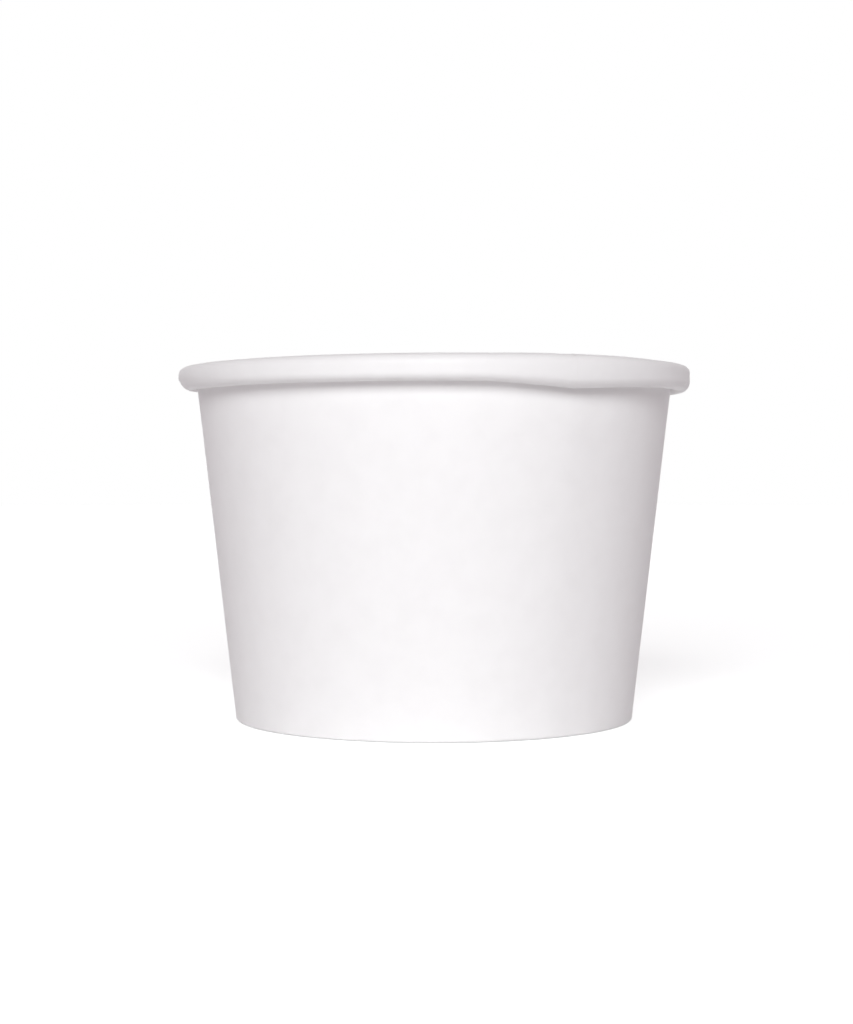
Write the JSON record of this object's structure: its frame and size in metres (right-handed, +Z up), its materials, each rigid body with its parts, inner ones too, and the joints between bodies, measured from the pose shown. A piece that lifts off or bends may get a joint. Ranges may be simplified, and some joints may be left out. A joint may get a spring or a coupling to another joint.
{
  "type": "paper food container",
  "caption": "Round tapered tub of white coated paperboard with a rolled rim, a lapped side seam and a recessed bottom disc, for a serving of hot or cold food.",
  "frame": {"origin": "centre of the foot, on the table plane", "axes": "+Z up along the container's axis to the open mouth, -Y the front that the picture shows, +X to the right of that view; the side seam is on the right of the front"},
  "size_m": [0.09, 0.09, 0.062],
  "materials": {
    "wall_board": "satin",
    "floor_board": "satin"
  },
  "bodies": {
    "root": {"side_wall": "wall_board", "bottom_disc": "floor_board"}
  },
  "joints": []
}
